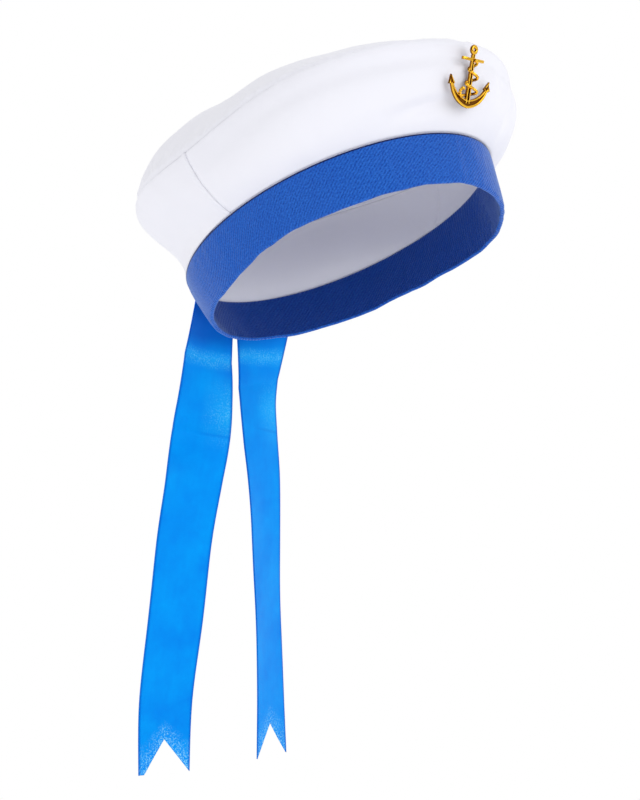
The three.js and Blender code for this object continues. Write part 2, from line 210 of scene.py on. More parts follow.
def crown_point(degrees, climb):
    """Climb runs from 0 at the headband to 1 at the crest seam and 2 at the middle of the round top."""
    degrees, climb = np.broadcast_arrays(np.asarray(degrees, float), np.asarray(climb, float))
    section = crown_sections(degrees)
    foot = head_radius(degrees, BAND_FLARE)
    on_wall = np.clip(climb, 0, 1)
    low, high, end = 3 * on_wall * (1 - on_wall) ** 2, 3 * on_wall**2 * (1 - on_wall), on_wall**3
    out = low * section["low_out"] + high * section["high_out"] + end * section["reach"]
    up = section["rise"] * (low * section["low_up"] + high * section["high_up"] + end)
    dent = section["fold"] * bump(on_wall, FOLD_AT, FOLD_HALF_WIDTH)
    inwards = np.clip(climb - 1, 0, 1)
    left = 1 - inwards
    seam_height = section["rise"] * left + TOP_SEAM_RISE * inwards
    swell = (section["puff"] * left + TOP_RISE * inwards) * (1 - left**TOP_ROUNDNESS)
    on_top = climb > 1
    radius = np.where(on_top, (foot + section["reach"]) * left, foot + out - dent)
    height = np.where(on_top, seam_height + swell, up)
    return at_angle(degrees, radius, BAND_HEIGHT + GAP + height)


def crown_normal(degrees, climb):
    step = 0.03
    low = crown_point(degrees, np.maximum(climb - step, 0))
    high = crown_point(degrees, np.minimum(climb + step, 1.99))
    across = crown_point(degrees + 1, climb) - crown_point(degrees - 1, climb)
    return normalized(np.cross(across, high - low))


# --- Soft detail of the crown's cloth ------------------------------------------------------------------

WALL_LENGTH = 62  # mm of cloth up the wall, about the same all round
TOP_REACH = 125  # mm of cloth from the crest seam to the middle of the top
CROWN_ROUND = 720  # mm round the crown
SEAM_SHADE = 0.6  # how strongly painted shade darkens the turned edge at the crest seam
# Each fold beside the badge: angle and half width in degrees, climb and half height, and mm outwards.
CHEEK_FOLDS = (
    (12, 4, 0.55, 0.2, 1.3),
    (18, 3, 0.52, 0.16, -3.0),
    (23, 4, 0.45, 0.2, 1.2),
    (28, 3, 0.36, 0.16, -3.0),
    (36, 5, 0.4, 0.2, 0.8),
)


def away_from(distance, begins, fades):
    """0 on a seam, rising and then fading out with the distance from it."""
    return smoothstep(distance, 0, begins) * np.exp(-distance / fades)


def seam_turn(from_seam):
    """The cloth turns inwards at the crest seam."""
    return -1.7 * bump(from_seam, 0, 1.5)


def front_folds(degrees, climb):
    """A valley and a roll below the crest, and the folds under and beside the badge."""
    valley_reach = smoothstep(degrees, -75, -45) * smoothstep(degrees, 50, 20)
    valley = -0.5 * bump(climb, FOLD_AT - 0.01, 0.1) * valley_reach
    roll_reach = smoothstep(degrees, -80, -40) * smoothstep(degrees, 55, 25)
    roll = 0.4 * bump(climb, 0.93, 0.07) * roll_reach
    under_badge = -3.6 * bump(climb, 0.3 + degrees * 0.005, 0.08) * bump(degrees, -13, 10)
    beside_badge = sum(
        out * bump(degrees, angle, half_width) * bump(climb, at, half_height)
        for angle, half_width, at, half_height, out in CHEEK_FOLDS
    )
    return valley + roll + under_badge + beside_badge


def wall_detail(degrees, climb):
    """How far the wall's cloth stands off its plain form, in mm."""
    from_seam = (1 - climb) * WALL_LENGTH
    from_band = climb * WALL_LENGTH
    free = smoothstep(from_seam, 0, 12) * smoothstep(from_band, 0, 12)
    broad = 0.9 * soft_noise(degrees / 24, climb * 2.5 + 3, 11, around=15)
    drape = 0.45 * soft_noise(degrees / 7.5 + climb * 1.6, climb * 1.2, 12, around=48)
    puckers = soft_noise(degrees / 2.25, from_seam / 14, 13, around=160) * away_from(from_seam, 2.5, 6)
    gathers = soft_noise(degrees / 4.5, from_band / 20, 14, around=80) * away_from(from_band, 2.5, 8)
    foot_turn = -0.25 * bump(from_band, 0, 0.8)
    sewn = 0.35 * puckers + 0.4 * gathers + seam_turn(from_seam) + foot_turn
    return free * (broad + drape) + sewn + front_folds(degrees, climb)


def side_seam_detail(degrees):
    """The back panel is folded under and lies over the front panel's edge at each side seam."""
    mm_per_degree = CROWN_ROUND / 360
    beyond = (np.abs((degrees + 180) % 360 - 180) - SIDE_SEAM_ANGLE) * mm_per_degree
    lip = 0.6 * bump(beyond, 1.8, 1.4) - 0.25 * bump(beyond, 0, 0.6)
    return np.where(beyond >= 0, lip, -0.55 * np.exp(-((beyond / 2.4) ** 2)))


def top_detail(degrees, climb):
    """How far the round top's cloth stands off its plain form, in mm."""
    from_seam = (climb - 1) * TOP_REACH
    free = smoothstep(from_seam, 2, 25)
    middle = smoothstep(climb, 1.95, 1.5)
    across = (climb - 1) * 2.2
    broad = 2.2 * soft_noise(degrees / 45, across, 21, around=8) * middle
    folds = 1.0 * soft_noise(degrees / 9, from_seam / 22, 22, around=40) * np.exp(-from_seam / 35)
    drape = 0.9 * soft_noise(degrees / 15, across * 1.3, 25, around=24)
    drape = drape * middle * smoothstep(from_seam, 5, 40)
    puckers = soft_noise(degrees / 1.8, from_seam / 9, 23, around=200) * away_from(from_seam, 2.5, 7)
    fine = soft_noise(degrees / 1.2 + from_seam / 6, from_seam / 4, 24, around=300)
    fine = fine * away_from(from_seam, 3, 14)
    sewn = 0.9 * puckers + 0.3 * fine + seam_turn(from_seam)
    return free * broad + drape + folds * smoothstep(from_seam, 0, 6) + sewn


# --- Making meshes -------------------------------------------------------------------------------------


class Faces:
    """Quads between rows of vertices, with a place on the cloth for each corner."""

    def __init__(self):
        self.points, self.faces, self.uvs, self.count = [], [], [], 0

    def grid(self, points, uv, closed=False, flip=False):
        """points are rows x columns, and uv has one more column where the rows close on themselves."""
        rows, columns = points.shape[:2]
        start = self.count
        self.points.append(points.reshape(-1, 3))
        self.count += rows * columns
        quads_along = columns if closed else columns - 1
        row, column = np.meshgrid(np.arange(rows - 1), np.arange(quads_along), indexing="ij")
        corners = [(row, column), (row, column + 1), (row + 1, column + 1), (row + 1, column)]
        if flip:
            corners.reverse()
        index = [start + r * columns + c % columns for r, c in corners]
        self.faces.append(np.stack(index, axis=-1).reshape(-1, 4))
        self.uvs.append(np.stack([uv[r, c] for r, c in corners], axis=-2).reshape(-1, 4, 2))
        return start

    def strip(self, first, second, uv):
        """Quads between two equal runs of vertices."""
        first, second = np.asarray(first), np.asarray(second)
        quads = np.stack([first[:-1], first[1:], second[1:], second[:-1]], axis=-1)
        corner = np.stack([uv[:-1], uv[1:], uv[1:], uv[:-1]], axis=-2)
        self.faces.append(quads)
        self.uvs.append(corner)


def add_object(name, data):
    added = bpy.data.objects.new(name, data)
    bpy.context.scene.collection.objects.link(added)
    return added


def add_mesh(name, faces, material):
    mesh = bpy.data.meshes.new(name)
    points = np.concatenate(faces.points) * MM
    quads = np.concatenate(faces.faces)
    mesh.from_pydata(points.tolist(), [], quads.tolist())
    layer = mesh.uv_layers.new(name="cloth")
    layer.data.foreach_set("uv", (np.concatenate(faces.uvs) * MM).astype(np.float32).ravel())
    mesh.polygons.foreach_set("use_smooth", np.ones(len(mesh.polygons), dtype=bool))
    mesh.materials.append(material)
    face_outwards(mesh)
    return add_object(name, mesh)


def face_outwards(mesh):
    """Joins vertices that lie on each other and turns every face outwards."""
    work = bmesh.new()
    work.from_mesh(mesh)
    bmesh.ops.remove_doubles(work, verts=work.verts, dist=1e-7)
    bmesh.ops.recalc_face_normals(work, faces=work.faces)
    work.to_mesh(mesh)
    work.free()


def stand_for(piece, slot, *nodes):
    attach(piece, "root")
    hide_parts(*nodes)
    return piece


# --- Materials -----------------------------------------------------------------------------------------


class Nodes:
    """Short calls for a material's nodes."""

    def __init__(self, name):
        self.material = bpy.data.materials.new(name)
        self.material.use_nodes = True
        self.tree = self.material.node_tree
        self.shader = self.tree.nodes["Principled BSDF"]

    def add(self, kind, inputs=None, **settings):
        node = self.tree.nodes.new(kind)
        for name, value in settings.items():
            setattr(node, name, value)
        for name, value in (inputs or {}).items():
            self.put(node, name, value)
        return node

    def put(self, node, name, value):
        if isinstance(value, bpy.types.NodeSocket):
            self.tree.links.new(value, node.inputs[name])
        else:
            node.inputs[name].default_value = value

    def math(self, operation, *values):
        node = self.add("ShaderNodeMath", operation=operation)
        for index, value in enumerate(values):
            self.put(node, index, value)
        return node.outputs[0]

    def times(self, value, factor):
        return self.math("MULTIPLY", value, factor)

    def cloth_place(self, turn=0.0):
        """Coordinates along the cloth in metres, turned by an angle."""
        place = self.add("ShaderNodeTexCoord").outputs["UV"]
        mapping = self.add("ShaderNodeMapping", {"Vector": place, "Rotation": (0, 0, math.radians(turn))})
        return mapping.outputs["Vector"]

    def stretched(self, place, *scale):
        return self.add("ShaderNodeMapping", {"Vector": place, "Scale": scale}).outputs["Vector"]

    def wave(self, place, pitch, direction="X", distortion=0.0, detail_scale=1.0):
        """Stripes that repeat after a pitch in metres, from 0 to 1."""
        scale = 1 / pitch / 20 * 2 * math.pi
        node = self.add(
            "ShaderNodeTexWave",
            {"Vector": place, "Scale": scale, "Distortion": distortion, "Detail Scale": detail_scale},
            wave_type="BANDS",
            bands_direction=direction,
            wave_profile="SIN",
        )
        return node.outputs["Fac"]

    def noise(self, place, size, detail=3.0, roughness=0.5):
        node = self.add(
            "ShaderNodeTexNoise",
            {"Vector": place, "Scale": 1 / size, "Detail": detail, "Roughness": roughness},
        )
        return node.outputs["Fac"]

    def ramp(self, value, *stops):
        node = self.add("ShaderNodeValToRGB", {"Fac": value})
        elements = node.color_ramp.elements
        while len(elements) < len(stops):
            elements.new(0.5)
        for element, (position, colour) in zip(elements, stops):
            element.position = position
            element.color = (*colour, 1) if hasattr(colour, "__len__") else (colour, colour, colour, 1)
        return node.outputs["Color"]

    def mix(self, share, first, second, blend="MIX"):
        node = self.add("ShaderNodeMix", data_type="RGBA", blend_type=blend)
        self.put(node, 0, share)
        for index, colour in ((6, first), (7, second)):
            self.put(node, index, colour if isinstance(colour, bpy.types.NodeSocket) else (*colour, 1))
        return node.outputs[2]

    def bump(self, height, strength, distance, normal=None):
        inputs = {"Height": height, "Strength": strength, "Distance": distance}
        if normal is not None:
            inputs["Normal"] = normal
        return self.add("ShaderNodeBump", inputs).outputs["Normal"]

    def finish(self, **inputs):
        for name, value in inputs.items():
            self.put(self.shader, name.replace("_", " "), value)
        return self.material


def white_cloth():
    """White poplin: a fine plain weave with slight slubs, and a faint lavender tint in its depths."""
    nodes = Nodes("white_cloth")
    place = nodes.cloth_place()
    warp = nodes.wave(place, 0.0007, "X", 0.6)
    weft = nodes.wave(place, 0.0007, "Y", 0.6)
    weave = nodes.times(warp, weft)
    slub = nodes.noise(nodes.stretched(place, 1, 6, 1), 0.006)
    mottle = nodes.noise(place, 0.03, 4)
    colour = nodes.mix(nodes.times(mottle, 0.5), (0.865, 0.865, 0.93), (0.83, 0.83, 0.905))
    colour = nodes.mix(nodes.times(weave, 0.1), colour, (0.78, 0.78, 0.86))
    height = nodes.add("ShaderNodeSeparateXYZ", {"Vector": place}).outputs["Y"]
    # painted shade: the wall's cloth darkens just below the crest seam, where it turns in
    seam = nodes.ramp(nodes.times(height, 1 / (WALL_LENGTH * MM)), (0.984, 0.0), (0.99, 1.0))
    colour = nodes.mix(nodes.times(seam, SEAM_SHADE), colour, (0.5, 0.5, 0.58))
    normal = nodes.bump(weave, 0.25, 0.00012)
    normal = nodes.bump(slub, 0.12, 0.0003, normal)
    return nodes.finish(
        Base_Color=colour,
        Roughness=0.82,
        Specular_IOR_Level=0.25,
        Sheen_Weight=0.25,
        Sheen_Roughness=0.5,
        Normal=normal,
    )


def blue_satin():
    """Royal blue satin-faced twill: fine lines run up across the band, with painted shade on its top edge and
    inner side.
    """
    nodes = Nodes("blue_satin")
    place = nodes.cloth_place()
    slanted = nodes.cloth_place(47)
    twill = nodes.wave(slanted, 0.0017, "X", 1.6, 2.0)
    threads = nodes.wave(place, 0.0006, "Y", 1.0)
    grain = nodes.ramp(nodes.noise(place, 0.0012, 2, 0.7), (0.36, 0.0), (0.66, 1.0))
    patches = nodes.noise(place, 0.025, 3)
    colour = nodes.mix(nodes.times(twill, 0.65), (0.001, 0.04, 0.30), (0.012, 0.12, 0.60))
    colour = nodes.mix(nodes.times(grain, 0.65), colour, (0.035, 0.21, 0.76))
    colour = nodes.mix(nodes.times(patches, 0.3), colour, (0.006, 0.06, 0.42))
    height = nodes.add("ShaderNodeSeparateXYZ", {"Vector": place}).outputs["Y"]
    share = nodes.times(height, 1 / (BAND_HEIGHT * MM))
    # painted shade: a near-black line along the outside's top edge, where the band meets the crown's foot
    edge = nodes.ramp(share, (0.0, 0.0), (0.962, 0.0), (0.972, 1.0))
    colour = nodes.mix(edge, colour, (0.004, 0.008, 0.07))
    # painted shade: the inner side of the satin is darkened
    shaded_inner_side = nodes.math("LESS_THAN", height, 0.0)
    colour = nodes.mix(nodes.times(shaded_inner_side, 0.7), colour, (0.002, 0.022, 0.19))
    normal = nodes.bump(twill, 0.5, 0.0004)
    normal = nodes.bump(threads, 0.12, 0.0001, normal)
    normal = nodes.bump(grain, 0.35, 0.0003, normal)
    return nodes.finish(
        Base_Color=colour,
        Roughness=0.42,
        Specular_IOR_Level=0.12,
        Sheen_Weight=0.6,
        Sheen_Roughness=0.3,
        Sheen_Tint=(0.45, 0.62, 1.0, 1.0),
        Normal=normal,
    )


def azure_satin():
    """Azure satin ribbon: smooth, with woven edges and pale rubbed flecks where it has been creased.
    It has painted shade near the band, a painted highlight above its lower fold and painted shade along that
    fold.
    """
    nodes = Nodes("azure_satin")
    place = nodes.cloth_place()
    spot = nodes.add("ShaderNodeTexCoord").outputs["Object"]
    split = nodes.add("ShaderNodeSeparateXYZ", {"Vector": place})
    across, down = split.outputs["X"], split.outputs["Y"]
    weft = nodes.wave(place, 0.0005, "Y", 0.8)
    streaks = nodes.noise(nodes.stretched(place, 8, 0.6, 1), 0.02)
    mottle = nodes.noise(spot, 0.025, 4, 0.6)
    shine = nodes.ramp(mottle, (0.3, (0.0, 0.25, 0.87)), (0.7, (0.0, 0.37, 0.98)))
    threads = nodes.noise(nodes.stretched(place, 1, 5, 1), 0.002, 2)
    colour = nodes.mix(nodes.times(threads, 0.3), shine, (0.0, 0.22, 0.82))
    colour = nodes.mix(nodes.times(streaks, 0.35), colour, (0.0, 0.21, 0.84))
    shade = nodes.ramp(nodes.times(down, 1 / 0.12), (0.17, 1.0), (0.26, 0.0))
    colour = nodes.mix(nodes.times(shade, 0.6), colour, (0.0, 0.11, 0.62))
    to_left = nodes.math("MULTIPLY_ADD", across, 1 / (RIBBON_WIDTH * MM), 0.5)
    left_side = nodes.ramp(to_left, (0.45, 0.0), (0.92, 1.0))
    # painted highlight: a lighter band above the lower fold, on one side of the ribbon
    painted_highlight = nodes.times(wear_and_light_line(nodes, across, down, *HIGHLIGHT_LINE, 24), left_side)
    colour = nodes.mix(nodes.times(painted_highlight, 0.8), colour, (0.01, 0.44, 1.0))
    flecks = nodes.ramp(nodes.noise(spot, 0.0009, 2, 0.7), (0.5, 0.0), (0.66, 1.0))
    pressed = wear_and_light_line(nodes, across, down, *PRESS_LINE, 6.5)
    worn_end = nodes.ramp(nodes.times(down, 1 / (RIBBON_LENGTH * MM)), (0.93, 0.0), (0.99, 1.0))
    rubbed = nodes.math("ADD", pressed, nodes.times(painted_highlight, 0.8))
    rubbed = nodes.times(rubbed, nodes.ramp(nodes.noise(spot, 0.008, 2), (0.3, 0.3), (0.6, 1.0)))
    colour = nodes.mix(nodes.times(pressed, 0.5), colour, (0.02, 0.47, 1.0))
    colour = nodes.mix(nodes.times(flecks, rubbed), colour, (0.12, 0.58, 1.0))
    colour = nodes.mix(nodes.times(flecks, worn_end), colour, (0.3, 0.74, 1.0))
    # painted shade: a darker line along the lower fold's crease
    fold = wear_and_light_line(nodes, across, down, *FOLD_LINE, 1.6)
    fold = nodes.times(fold, nodes.ramp(to_left, (0.3, 0.0), (0.6, 1.0)))
    colour = nodes.mix(nodes.times(fold, 0.35), colour, (0.0, 0.16, 0.74))
    from_middle = nodes.math("ABSOLUTE", across)
    selvedge = nodes.ramp(nodes.times(from_middle, 2 / (RIBBON_WIDTH * MM)), (0.90, 0.0), (0.97, 1.0))
    colour = nodes.mix(nodes.times(selvedge, 0.7), colour, (0.0, 0.11, 0.62))
    normal = nodes.bump(weft, 0.12, 0.0001)
    normal = nodes.bump(mottle, 0.15, 0.0006, normal)
    return nodes.finish(
        Base_Color=colour,
        Roughness=0.36,
        Specular_IOR_Level=0.04,
        Sheen_Weight=0.02,
        Sheen_Roughness=0.3,
        Sheen_Tint=(0.3, 0.65, 1.0, 1.0),
        Normal=normal,
    )


def wear_and_light_line(nodes, across, down, at, slope, half_width):
    """1 on a line across the ribbon, at a distance from the seam, falling to 0 half a width away. In mm.
    It places worn marks, a painted highlight and painted shade.
    """
    line = nodes.math("ADD", down, nodes.times(across, -slope))
    away = nodes.math("ABSOLUTE", nodes.math("SUBTRACT", line, at * MM))
    share = nodes.math("SMOOTH_MIN", 1.0, nodes.math("DIVIDE", away, half_width * MM), 0.2)
    return nodes.math("SUBTRACT", 1.0, share)


def polished_gold():
    """Gold-plated casting: bright on its raised edges, and painted brown shade in the low places of its face.
    """
    nodes = Nodes("gold")
    place = nodes.add("ShaderNodeTexCoord").outputs["Object"]
    ripple = nodes.noise(place, 0.004, 2)
    patches = nodes.noise(place, 0.002, 3)
    rough = nodes.math("MULTIPLY_ADD", patches, 0.1, 0.12)
    raised = nodes.add("ShaderNodeAttribute", attribute_name="raised").outputs["Fac"]
    # painted shade: brown in the low places, dull between, and bright gold on the raised edges
    shade_brown, dull, bright = (0.24, 0.085, 0.006), (0.5, 0.22, 0.012), (0.95, 0.54, 0.045)
    colour = nodes.ramp(raised, (0.0, shade_brown), (0.55, dull), (1.0, bright))
    normal = nodes.bump(ripple, 0.3, 0.0006)
    return nodes.finish(Base_Color=colour, Metallic=1.0, Roughness=rough, Normal=normal)


WHITE = white_cloth()
BLUE = blue_satin()
AZURE = azure_satin()
GOLD = polished_gold()

# --- Crown ---------------------------------------------------------------------------------------------

ROUND_STEP = 0.6  # degrees between the columns of a piece that goes all round
WALL_STEP = 0.5  # degrees between the columns of a wall panel
WALL_ROWS, WALL_CROWDING = 64, 1.35  # the rows draw together towards the crest seam
TOP_ROWS, TOP_CROWDING = 56, 1.5
WALL_END, TOP_BEGIN, TOP_END = 0.999, 1.0005, 1.9995  # climbs just off the crest seam and the middle
PANEL_GAP = 0.03  # degrees left open beside a side seam


def crown_shell(name, degrees, climbs, detail, closed, uv):
    """A wall of cloth over part of the crown. A closed one goes all round, and its last row is one point."""
    angle, climb = np.meshgrid(degrees, climbs)
    normal = crown_normal(angle, climb)
    stand = detail(angle, climb)[..., None]
    outside = crown_point(angle, climb) + normal * stand
    inside = outside - normal * CLOTH_THICKNESS
    if closed:
        outside[-1], inside[-1] = outside[-1].mean(axis=0), inside[-1].mean(axis=0)
    faces = Faces()
    outer = faces.grid(to_frame(outside), uv, closed)
    inner = faces.grid(to_frame(inside), uv, closed, flip=True)
    rows, columns = angle.shape

    first_row = np.arange(columns)
    if closed:
        first_row = np.append(first_row, 0)
    faces.strip(outer + first_row, inner + first_row, uv[0])
    if not closed:
        last_row = (rows - 1) * columns + first_row
        faces.strip(inner + last_row, outer + last_row, uv[-1])
        for column in (0, columns - 1):
            run = np.arange(rows) * columns + column
            faces.strip(outer + run, inner + run, uv[:, column])
    return add_mesh(name, faces, WHITE)


def wall_uv(degrees, climbs):
    angle, climb = np.meshgrid(degrees, climbs)
    return np.stack([angle * CROWN_ROUND / 360, climb * WALL_LENGTH], axis=-1)


def wall_panel(name, start, end, node):
    degrees = np.linspace(start, end, int((end - start) / WALL_STEP) + 1)
    climbs = WALL_END * (1 - (1 - np.linspace(0, 1, WALL_ROWS)) ** WALL_CROWDING)

    def detail(angle, climb):
        return wall_detail(angle, climb) + side_seam_detail(angle)

    panel = crown_shell(name, degrees, climbs, detail, False, wall_uv(degrees, climbs))
    return stand_for(panel, "white_cloth", node)


def crown_top():
    degrees = np.arange(0, 360, ROUND_STEP)
    climbs = TOP_BEGIN + (TOP_END - TOP_BEGIN) * np.linspace(0, 1, TOP_ROWS) ** TOP_CROWDING
    angle, climb = np.meshgrid(np.append(degrees, 360), climbs)
    flat = crown_point(angle, climb)[..., :2] - (0, 2 * TOP_REACH)
    top = crown_shell("crown_top_cloth", degrees, climbs, top_detail, True, flat)
    return stand_for(top, "white_cloth", "crown_top")


# --- Headband ------------------------------------------------------------------------------------------

BAND_ROUND = 600  # mm of satin round the headband
BAND_TOP_EDGE = 0.2  # mm taken off the headband's upper edges


def band_wave(degrees):
    """How far the headband's lower edge waves outwards and downwards, in mm."""
    out, drop = 0, 0
    for angle, half_width, wave_out, wave_drop in BAND_WAVES:
        away = (degrees - angle + 180) % 360 - 180
        strength = np.exp(-((away / half_width) ** 2))
        out = out + wave_out * strength
        drop = drop + wave_drop * strength
    return out, drop


def headband():
    """Doubled satin: down the outside, round the fold at the lower edge, and up the inside."""
    half = BAND_THICKNESS / 2
    turn = np.radians(np.linspace(0, 180, 9))
    straight = np.linspace(BAND_HEIGHT - BAND_TOP_EDGE, half, 30)
    lower = [(half - half * math.cos(t), half - half * math.sin(t)) for t in turn[1:-1]]
    outline = [(0.0, height) for height in straight] + lower
    outside_rows = len(outline)
    outline += [(BAND_THICKNESS, height) for height in straight[::-2]]
    outline += [(BAND_THICKNESS - BAND_TOP_EDGE, BAND_HEIGHT), (BAND_TOP_EDGE, BAND_HEIGHT)]
    degrees = np.arange(0, 360, ROUND_STEP)
    inward = np.array([corner[0] for corner in outline])[:, None]
    height = np.array([corner[1] for corner in outline])[:, None]
    share = height / BAND_HEIGHT
    wave_out, wave_drop = band_wave(degrees)
    ripple = 0.5 * soft_noise(degrees / 9, share * 1.5, 31, around=40)
    ripple = ripple + 0.25 * soft_noise(degrees / 3, share * 2 + 5, 32, around=120)
    ripple = ripple * (1 - smoothstep(share, 0.75, 1.0))
    edge_ripple = 0.5 * soft_noise(degrees / 8, 0, 33, around=45) * (1 - share)
    out = BAND_FLARE * share + 4 * BAND_SWELL * share * (1 - share) + wave_out * (1 - share) - inward + ripple
    lowered = height - wave_drop * (1 - share) - edge_ripple
    points = at_angle(degrees, head_radius(degrees, out), lowered)
    closed = np.concatenate([points, points[:1]])
    along = np.append(degrees, 360) * BAND_ROUND / 360
    up = np.append(height[:, 0], height[0, 0])
    up[outside_rows:-1] *= -1  # the satin knows its inner side, which gets painted shade, by a height below 0
    uv = np.stack(np.meshgrid(along, up), axis=-1)
    faces = Faces()
    faces.grid(to_frame(closed), uv, True)
    return stand_for(add_mesh("headband_satin", faces, BLUE), "blue_satin", "headband")


# --- Ribbons -------------------------------------------------------------------------------------------

RIBBON_ROWS, RIBBON_COLUMNS = 221, 29
RIBBON_THICKNESS, SELVEDGE_THICKNESS = 0.5, 0.8


def seam_point(aside):
    """The point of the ribbons' seam that is this far to the side of the cap's middle."""
    degrees = 180 - np.degrees(np.arcsin(aside / HEAD_BACK_REACH))
    radius = head_radius(degrees, BAND_FLARE + RIBBON_SEAM_OFFSET)
    return to_frame(at_angle(degrees, radius, BAND_HEIGHT - RIBBON_SEAM_DROP))


def ribbon(name, route, node, seed, creases, blunt=0.0):
    """A swallow-tailed ribbon. blunt is the share of half the width over which one tip is cut square."""
    seam = seam_point(np.array(0.0))
    position = np.linspace(0, len(route) - 1, 400)
    line = smooth_rows(route, position)
    points = np.stack([line[:, 1], line[:, 2], -line[:, 0]], axis=-1) + seam
    steps = np.linalg.norm(np.diff(points, axis=0), axis=1)
    distance = np.concatenate([[0], np.cumsum(steps)])
    distance = distance / distance[-1]

    side_grid, along = np.meshgrid(np.linspace(-1, 1, RIBBON_COLUMNS), np.linspace(0, 1, RIBBON_ROWS))
    from_edge = 1 - np.abs(side_grid)
    notch = np.where(side_grid < 0, np.clip((from_edge - blunt) / (1 - blunt), 0, 1), from_edge)
    share = along - RIBBON_NOTCH / RIBBON_LENGTH * notch * along**6
    turn = np.radians(np.interp(share, distance, line[:, 3]))
    width = np.stack([np.cos(turn), np.sin(turn), np.zeros_like(turn)], axis=-1)
    facing = np.stack([-np.sin(turn), np.cos(turn), np.zeros_like(turn)], axis=-1)
    middle = np.stack([np.interp(share, distance, points[:, axis]) for axis in range(3)], axis=-1)
    offset = side_grid[..., None] * RIBBON_WIDTH / 2
    free = middle + width * offset
    plain_top = np.tile(points[0], (*share.shape, 1))
    plain_top[..., 0] += offset[..., 0]
    hold = 1 - smoothstep(along * RIBBON_LENGTH, 0, RIBBON_SETTLED)
    surface = free + (seam_point(plain_top[..., 0] - seam[0]) - plain_top) * hold[..., None]

    down = along * RIBBON_LENGTH
    stand = 0.7 * (1 - side_grid**2) * smoothstep(down, 40, 120)
    stand += 0.5 * soft_noise(down / 45, side_grid * 0.8 + 4, seed) * smoothstep(down, 20, 60)
    for at, slope, depth, reach in creases:
        away = down - at - slope * side_grid * RIBBON_WIDTH / 2
        stand += depth * np.exp(-np.abs(away) / reach)
    surface = surface + facing * stand[..., None]

    on_selvedge = smoothstep(np.abs(side_grid), 0.93, 0.97)
    thickness = RIBBON_THICKNESS + (SELVEDGE_THICKNESS - RIBBON_THICKNESS) * on_selvedge
    front = surface - facing * thickness[..., None] / 2
    back = surface + facing * thickness[..., None] / 2
    uv = np.stack([offset[..., 0], down], axis=-1)
    faces = Faces()
    near = faces.grid(front, uv)
    far = faces.grid(back, uv, flip=True)
    top_edge = np.arange(RIBBON_COLUMNS)
    side_edge = np.arange(RIBBON_ROWS) * RIBBON_COLUMNS
    borders = [
        (top_edge, uv[0]),
        (side_edge[-1] + top_edge, uv[-1]),
        (side_edge, uv[:, 0]),
        (side_edge + RIBBON_COLUMNS - 1, uv[:, -1]),
    ]
    for run, border_uv in borders:
        faces.strip(near + run, far + run, border_uv)
    return stand_for(add_mesh(name, faces, AZURE), "azure_satin", node)


# --- Anchor badge --------------------------------------------------------------------------------------

FACE_LEVEL = 1.0  # height of the castings' flat face over their back
SHADE_BROWN_LEVEL, GOLD_LEVEL = 1.1, 1.6  # the badge's colour goes from painted brown shade to gold between these heights
ROPE_PITCH, STRAND_OFFSET = 3.2, 0.42


def badge_matrix():
    """The badge's place: x across, y up from the lowest point of its arms, z away from the cap."""
    foot = crown_point(np.array(BADGE_ANGLE), np.array(BADGE_FOOT))
    head = crown_point(np.array(BADGE_ANGLE), np.array(BADGE_HEAD))
    up = normalized(head - foot)
    across = np.array([1.0, 0, 0])
    out = normalized(np.cross(across, up))
    climbs = np.arange(BADGE_FOOT, 1, 0.02)
    clearance = max(0, ((crown_point(np.full_like(climbs, BADGE_ANGLE), climbs) - foot) @ out).max())
    place = Matrix(np.column_stack([across, up, out]).tolist()).to_4x4()
    place.translation = Vector(foot + out * (clearance + GAP))
    tilt = Matrix.Rotation(math.radians(BADGE_TILT), 4, "X")
    lean = Matrix.Rotation(math.radians(-BADGE_LEAN), 4, "Z")
    return Matrix(CAP_TO_FRAME.tolist()).to_4x4() @ place @ (tilt @ lean)


def between(first, second, control, steps=14):
    """Points of a curve from first to second, bent towards control, without the last."""
    first, second, control = (np.array(p, float) for p in (first, second, control))
    share = np.linspace(0, 1, steps, endpoint=False)[:, None]
    return [*((1 - share) ** 2 * first + 2 * share * (1 - share) * control + share**2 * second)]


def arms_outline():
    """The outline of both arms with their flukes, anticlockwise from the lowest point."""
    span, tip, depth = ANCHOR_HALF_SPAN, ANCHOR_FLUKE_TIP, ANCHOR_ARM_DEPTH
    barb = tip - 5.5
    right = between((0, 0), (span - 0.7, barb), (span * 0.72, 1.6))
    fluke = ((span - 0.7, barb), (span + 0.9, barb - 0.4), (span, tip), (span - 4, barb + 0.6))
    right += [np.array(corner) for corner in fluke]
    right += between((span - 3.1, barb), (0, depth), (span * 0.55, depth + 1.4))
    left = [p * (-1, 1) for p in right[1:]][::-1]
    return right + [np.array((0, depth))] + left


def join_rings(rings, work):
    """Adds the quads between each ring of vertices and the next to a bmesh."""
    for first, second in zip(rings, rings[1:]):
        for k in range(len(first)):
            n = (k + 1) % len(first)
            work.faces.new((first[k], first[n], second[n], second[k]))


def inward_at_corners(outline):
    """For each corner of an anticlockwise outline, the direction inwards between its two edges."""
    following = normalized(np.roll(outline, -1, axis=0) - outline)
    previous = normalized(outline - np.roll(outline, 1, axis=0))
    both = following + previous
    return normalized(np.stack([-both[:, 1], both[:, 0]], axis=-1))


